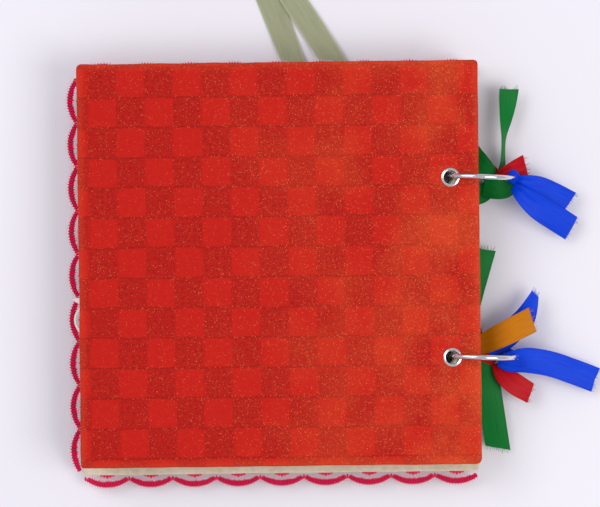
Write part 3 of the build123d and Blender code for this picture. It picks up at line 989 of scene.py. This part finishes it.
def add_strip(shape, points, skew=0.0, notch=0.0, cup=0.0, curl=0.0, pleats=0.0, level_across=None):
    """Add a ribbon strip along a line. Skew and notch cut its end, cup and pleats bend its width,
    and curl lifts its last stretch. Returns its length."""
    uv_layer = shape.loops.layers.uv.verify()
    length = line_length(points)
    made = bmesh.ops.create_grid(shape, x_segments=max(8, round(length / STRIP_STEP)),
                                 y_segments=STRIP_CELLS, size=0.5)
    end_width = strip_frame(points, 1.0, level_across)[-1]
    places = {}
    for vert in made["verts"]:
        share, across = vert.co.x + 0.5, vert.co.y
        cut_off = (skew * across - notch * (0.5 - abs(across))) * end_width
        run = share * (length + cut_off)
        spot, direction, side, normal, width = strip_frame(points, min(run / length, 1.0), level_across)
        spot += direction * max(run - length, 0.0)
        tight = min(width / RIBBON_WIDTH, 1.0)
        fold = pleats * (1 - tight) * math.cos(across * 5 * math.pi) * MM
        dome = cup * (0.25 - across ** 2) * width
        hook = curl * max(share - 0.86, 0.0) ** 2 * 50 * (across + 0.5) * MM
        vert.co = spot + side * across * width + normal * (fold + dome + hook)
        places[vert] = (run, (across + 0.5) * RIBBON_WIDTH)
    faces = {face for vert in made["verts"] for face in vert.link_faces}
    for face in faces:
        for loop in face.loops:
            loop[uv_layer].uv = places[loop.vert]
    bmesh.ops.solidify(shape, geom=list(faces), thickness=SATIN)
    add_fray(shape, points, skew, notch, level_across)
    return length


def add_fray(shape, points, skew, notch, level_across):
    """Short loose threads along a strip's cut end."""
    spot, direction, side, normal, width = strip_frame(points, 1.0, level_across)
    for _ in range(FRAY_THREADS):
        across = random.uniform(-0.5, 0.5)
        root = spot + side * across * width
        root += direction * (skew * across - notch * (0.5 - abs(across))) * width
        lean = direction + side * random.uniform(-0.5, 0.5) + normal * random.uniform(-0.25, 0.25)
        length = random.uniform(0.8, 3.2) * MM
        turn_to = lean.to_track_quat("Z", "Y").to_matrix().to_4x4()
        place = Matrix.Translation(root + lean.normalized() * (length / 2 - 0.3 * MM)) @ turn_to
        bmesh.ops.create_cone(shape, cap_ends=True, segments=4, radius1=0.075 * MM, radius2=0.03 * MM,
                              depth=length, matrix=place)


print("ribbon helpers ready")

# %% Knots
WIRE = 1.25 * MM
RING_WIRE_RADIUS = RING_Z - WIRE


def add_knot(shape, ring, angle, size, lean):
    """A knot round the wire at an angle of the ring: a pleated lump and a band across it."""
    turned = math.radians(angle)
    center = RING_CENTERS[ring]
    along = Vector((-math.sin(turned), 0, math.cos(turned)))
    outward = Vector((math.cos(turned), 0, math.sin(turned)))
    basis = Matrix((along, outward.cross(along), outward)).transposed().to_4x4()
    spot = Matrix.Translation(center + outward * RING_WIRE_RADIUS)
    place = spot @ basis @ Matrix.Rotation(lean, 4, "Z")
    body = bmesh.ops.create_uvsphere(shape, u_segments=36, v_segments=20, radius=1)
    for vert in body["verts"]:
        x, y, z = vert.co
        ridge = 1 + 0.07 * math.sin(7 * math.atan2(z, x) + 2.2 * y) * (1 - 0.5 * abs(y))
        pinch = 1 - 0.22 * math.exp(-((y - 0.1) / 0.28) ** 2)
        vert.co = (x * ridge * pinch * size[0], y * size[1], z * ridge * pinch * size[2])
    bmesh.ops.transform(shape, matrix=place, verts=body["verts"])
    band = bmesh.ops.create_grid(shape, x_segments=40, y_segments=6, size=0.5)
    for vert in band["verts"]:
        turn_round, width = vert.co.x * 2 * math.pi, vert.co.y
        swell = 1.02 + 0.05 * math.cos(width * 3 * math.pi)
        vert.co = (
            math.cos(turn_round) * size[0] * swell,
            width * KNOT_BAND + 0.3 * MM * math.sin(turn_round),
            math.sin(turn_round) * size[2] * swell,
        )
    bmesh.ops.remove_doubles(shape, verts=band["verts"], dist=0.02 * MM)
    kept = [vert for vert in band["verts"] if vert.is_valid]
    bmesh.ops.transform(shape, matrix=place, verts=kept)
    bmesh.ops.solidify(shape, geom=list({f for v in kept for f in v.link_faces}), thickness=SATIN)


print("ring wire radius, mm:", round(RING_WIRE_RADIUS / MM, 2))

# %% [markdown]
# The tails' lines are chosen as a maker would spread real ribbon ends. Each row is a point from
# the middle of the ring in millimetres, with the height over the table, the width there and the
# roll in degrees.

# %% Ribbons on the rings
RIBBONS = {
    "upper_ring_green_ribbon": ("green", (-62, (2.6, 3.6, 2.4), 0.2), [
        ([(11.6, 0, 5, 6, 30), (12.9, 6, 8, 5.5, 50), (13.3, 13, 10.5, 5, 60), (13.6, 20, 12, 5.5, 60),
          (14.6, 29, 12.5, 8, 38), (15.8, 38, 11.5, 9.6, 20), (16.6, 45.4, 10.5, 10.4, 8)],
         dict(skew=-0.16, cup=0.10, curl=1.0)),
        ([(9, -1.5, 4.5, 5, 0), (6.5, 1.0, 8, 8, -12), (2.6, 5.6, 11, 11, -20), (-2.4, 11, 9, 12, -10),
          (-6, 16, 5.5, 12, 0)], dict(cup=0.12, pleats=0.5)),
        ([(8, -2, 4.5, 5, 0), (3, -7.4, 6.5, 10, 8), (-4, -8.4, 6.2, 12, 0), (-10, -9, 4.5, 12, 0)],
         dict(cup=0.1)),
        ([(3, -4.2, 9, 11, 4), (9, -5.4, 12, 11.4, -6), (14.4, -5.6, 13, 10, -14),
          (17.8, -3.0, 12.4, 6, -22)], dict(cup=-0.3, pleats=0.8)),
    ]),
    "upper_ring_red_ribbon": ("red", (-38, (2.4, 3.2, 2.2), -0.3), [
        ([(9.5, 0.2, 9, 3.5, 0), (13.5, 2.0, 12, 6.5, 6), (19, 4.0, 13.5, 9.4, 4),
          (24.6, 5.9, 12.5, 11.4, -4)], dict(skew=0.14, cup=0.14, pleats=0.7)),
        ([(12, 0.5, 7, 3.5, 0), (7, 3, 6, 8, 0), (0, 6, 5.2, 12, 0), (-8, 8, 4.2, 12, 0)], dict(cup=0.1)),
    ]),
    "upper_ring_blue_ribbon": ("blue", (-6, (3.0, 3.9, 3.0), 0.1), [
        ([(18.5, -1.8, 18, 4.5, 10), (23, -3.2, 19.2, 9, 16), (30, -5.6, 18, 12.4, 10),
          (38, -9, 14, 12.8, 4), (47, -13.4, 9, 12.8, 0)], dict(skew=0.2, cup=0.16, pleats=1.3)),
        ([(18.2, -4.6, 18.4, 5, -14), (22.4, -9, 20, 9.5, -12), (30, -15.2, 18.4, 12.8, -6),
          (39, -20.8, 13, 13.2, 0), (48.2, -26.4, 7.4, 13.2, 4)], dict(skew=-0.1, cup=0.18, pleats=1.4)),
    ]),
    "lower_ring_blue_ribbon": ("blue", (-30, (2.8, 3.4, 2.4), 0.2), [
        ([(5.5, 0.4, 8, 4, 0), (10.6, 5.6, 9.5, 10, -10), (16.6, 12.0, 10.5, 12, -6),
          (23.6, 19.6, 11, 11, 0), (28.8, 31.5, 11, 4.5, 8)], dict(skew=0.5, cup=0.1)),
        ([(9.4, -2.8, 11.5, 6, 0), (15, -3.4, 13.4, 10.6, 8), (24, -2.6, 15, 13, 6), (36, -4.6, 13.6, 13, 0),
          (48, -8.8, 9.6, 13, -4), (60.2, -13.6, 5.4, 13, -2)], dict(notch=0.16, cup=0.14, pleats=1.0)),
    ]),
    "lower_ring_gold_ribbon": ("gold", (-100, (2.4, 3.2, 2.2), 0.0), [
        ([(-3, 2.2, 6.2, 6, 0), (2.4, 6.0, 10.5, 10.4, -14), (8.4, 9.2, 14.6, 12, -12),
          (14.8, 12.4, 17, 12.6, -6), (21, 15.4, 17, 12.8, 0), (26.8, 18.2, 15.8, 13, 4)],
         dict(skew=0.16, cup=0.1)),
        ([(-3, -1.5, 4.8, 5, 0), (-8, -5, 4.6, 11, 0), (-15, -9, 4.2, 12.5, 0)], dict(cup=0.08)),
    ]),
    "lower_ring_green_ribbon": ("green", (-72, (2.6, 3.4, 2.4), 0.1), [
        ([(3.6, 0.6, 4.4, 6, 0), (-3, 8, 4.0, 11.4, 0), (-6.2, 20, 3.8, 12.5, 0), (-3.8, 31, 4.6, 12.5, 3),
          (-0.4, 43, 6.4, 12.5, 6), (3, 54.7, 8, 12.5, 8)], dict(skew=-0.12, cup=0.1)),
        ([(5, -2.6, 5.2, 6.4, 0), (4.0, -7, 7, 10, -4), (4.8, -16, 8.6, 12, -6), (6.8, -32, 7.6, 12.5, 0),
          (9.2, -48, 5, 12.5, 4)], dict(skew=0.36, cup=0.1)),
    ]),
    "lower_ring_red_ribbon": ("red", (-52, (2.4, 3.2, 2.2), -0.2), [
        ([(8.4, -4.6, 8.5, 5, 0), (12.0, -9.6, 11, 9.4, -10), (17.6, -14.6, 12, 11.2, -8),
          (26.0, -19.8, 9.6, 10.4, 0)], dict(skew=-0.24, cup=0.14, pleats=0.8)),
        ([(8, -0.5, 7, 4, 0), (2, -4, 6, 10, 0), (-6, -5.5, 5.2, 12, 0)], dict(cup=0.08)),
    ]),
}
RESTS_AT = 0.2 * MM


def place_rows(rows, center=Vector((0, 0, 0))):
    """Rows in millimetres as points in metres, moved in plan to a centre."""
    return [(center.x + x * MM, center.y + y * MM, z * MM, width * MM, roll)
            for x, y, z, width, roll in rows]


for index, (name, (color, knot, tails)) in enumerate(RIBBONS.items()):
    random.seed(100 + index)
    ring = name.split("_")[0]
    shape = bmesh.new()
    total = 0.0
    for rows, cut_style in tails:
        total += add_strip(shape, place_rows(rows, RING_CENTERS[ring]), **cut_style)
    angle, size, lean = knot
    add_knot(shape, ring, angle, [length * MM for length in size], lean)
    for vert in shape.verts:
        vert.co.z = max(vert.co.z, RESTS_AT)
    ribbon = add_piece(f"{name}_satin", shape, [satins[color]], "front_cover", [name], 50)
    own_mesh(ribbon)

# %% [markdown]
# ## The organza bow
#
# The long pale tails that come out past the head belong to a bow under the front cover. Organza
# is stiff and sheer, so the loops stay open and flat, and the tails lie almost straight. Two
# layers of it look darker where they cross.

# %% Bow and tails
bow_center = middle("bow_knot")
tail_lines = {
    "left": [(14, 92, 3.0, 9, 0), (8.4, 104.9, 2.2, 11.5, 0), (2.4, 121, 1.0, 12.5, 2),
             (-3.8, 136.7, 0.8, 12.5, -2), (-12, 158, 0.8, 12.5, 0)],
    "right": [(37, 92, 4.2, 9, 0), (29, 104.9, 3.4, 11.5, 0), (19, 121, 2.2, 12.5, -2),
              (8.9, 136.7, 2.0, 12.5, 2), (-4, 158, 2.0, 12.5, 0)],
}
for index, (side, rows) in enumerate(tail_lines.items()):
    random.seed(200 + index)
    shape = bmesh.new()
    node = f"organza_tail_{side}"
    total = add_strip(shape, place_rows(rows), skew=0.3, cup=0.03)
    tail = add_piece(f"{node}_ribbon", shape, [organza], "front_cover", [node], 50)

bow_low, bow_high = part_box("bow_loops")
shape = bmesh.new()
random.seed(210)
total = 0.0
reach = (bow_high.x - bow_center.x) / MM
rows = [(0.5, 0.55, 8), (8, 0.86, 10.5), (reach * 0.7, 0.82, 12.5), (reach - 1, 0.5, 12.5),
        (reach * 0.7, 0.16, 12.5), (8, 0.12, 10.5), (0.5, 0.4, 8)]
for side in (-1, 1):
    line = [(bow_center.x + side * x * MM, bow_center.y, bow_high.z * z, width * MM, 0)
            for x, z, width in rows]
    total += add_strip(shape, line, cup=0.04, pleats=0.5, level_across=(0, 1, 0))
bow = add_piece("bow_loops_ribbon", shape, [organza], "front_cover", ["bow_loops"], 50)

knot_low, knot_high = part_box("bow_knot")
shape = bmesh.new()
body = bmesh.ops.create_uvsphere(shape, u_segments=32, v_segments=20, radius=1)
for vert in body["verts"]:
    x, y, z = vert.co
    ridge = 1 + 0.06 * math.sin(9 * math.atan2(z, x)) * (1 - abs(y))
    vert.co = (x * ridge * (knot_high.x - knot_low.x) / 2, y * (knot_high.y - knot_low.y) / 2 * 0.9,
               z * ridge * (knot_high.z - knot_low.z) / 2)
bmesh.ops.translate(shape, verts=shape.verts, vec=bow_center)
knot = add_piece("bow_knot_ribbon", shape, [organza], "front_cover", ["bow_knot"], 50)
